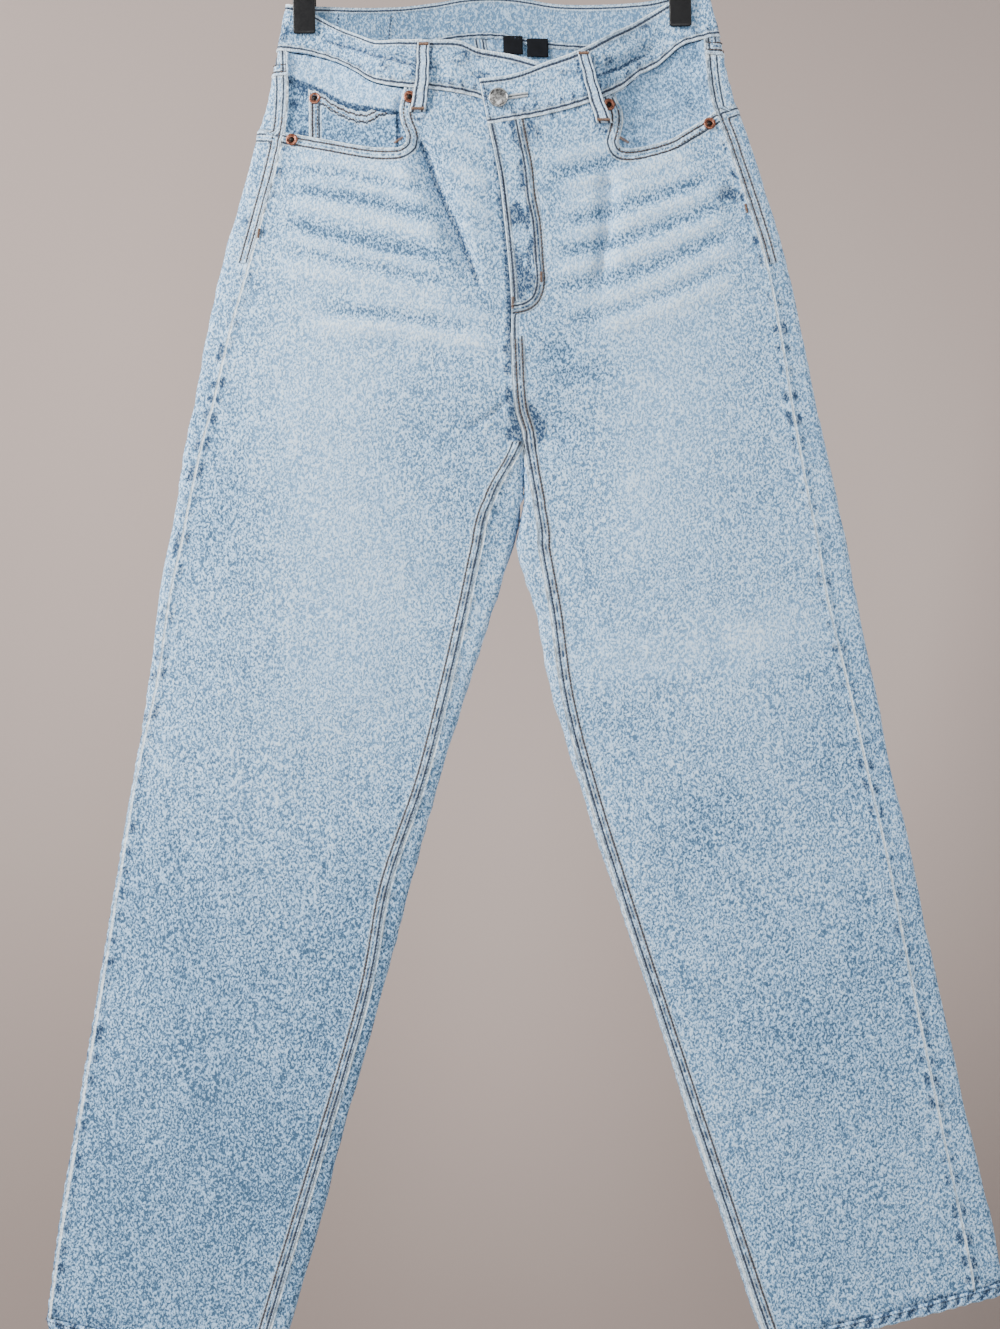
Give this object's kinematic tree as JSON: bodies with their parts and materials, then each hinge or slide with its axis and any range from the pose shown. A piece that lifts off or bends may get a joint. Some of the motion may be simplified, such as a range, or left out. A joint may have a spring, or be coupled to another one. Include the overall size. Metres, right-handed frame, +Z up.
{
  "type": "high-rise jeans on a clip hanger",
  "caption": "High-rise straight-leg jeans in pale washed denim, hanging flat by the waistband from a plain clip hanger.",
  "frame": {"origin": "the point inside the crown of the hanger's hook that rests on a rail", "axes": "+Z up, -Y towards the viewer of the front, +X to that viewer's right"},
  "size_m": [0.8009, 0.0503, 1.2403],
  "materials": {
    "denim": "pale stone-washed denim, faded over the thighs and creased at the hips",
    "waist_denim": "pale washed denim, two layers, dark along its stitching",
    "facing_denim": "less faded denim inside the pocket mouths",
    "hem_denim": "turned-up hem, roped light and dark",
    "loop_denim": "washed denim strip, pale along its edges",
    "back_patch": "bare patch in a deeper blue",
    "label": "black woven tape, bare",
    "rivet": "worn copper",
    "button": "worn silver-coloured metal",
    "hanger_plastic": "black, slightly glossy",
    "hanger_steel": "plain bright wire and strip"
  },
  "bodies": {
    "root": {"front_left": "denim", "front_right": "denim", "back_left": "denim", "back_right": "denim", "yoke_left": "denim", "yoke_right": "denim", "waistband": "waist_denim", "pocket_facing_left": "facing_denim", "pocket_facing_right": "facing_denim", "coin_pocket": "facing_denim", "back_pocket_left": "denim", "back_pocket_right": "denim", "hem_left": "hem_denim", "hem_right": "hem_denim", "belt_loop_front_left": "loop_denim", "belt_loop_front_right": "loop_denim", "belt_loop_back_left": "loop_denim", "belt_loop_back_middle": "loop_denim", "belt_loop_back_right": "loop_denim", "back_patch": "back_patch", "label_flat": "label", "label_folded": "label", "rivet_pocket_left_outer": "rivet", "rivet_coin_pocket": "rivet", "rivet_pocket_left_inner": "rivet", "rivet_pocket_right_inner": "rivet", "rivet_pocket_right_outer": "rivet", "button": "button", "hanger_bar": "hanger_plastic", "hanger_hook": "hanger_steel", "clip_jaw_front_left": "hanger_plastic", "clip_jaw_back_left": "hanger_plastic", "clip_spring_left": "hanger_steel", "clip_jaw_front_right": "hanger_plastic", "clip_jaw_back_right": "hanger_plastic", "clip_spring_right": "hanger_steel"}
  },
  "joints": []
}
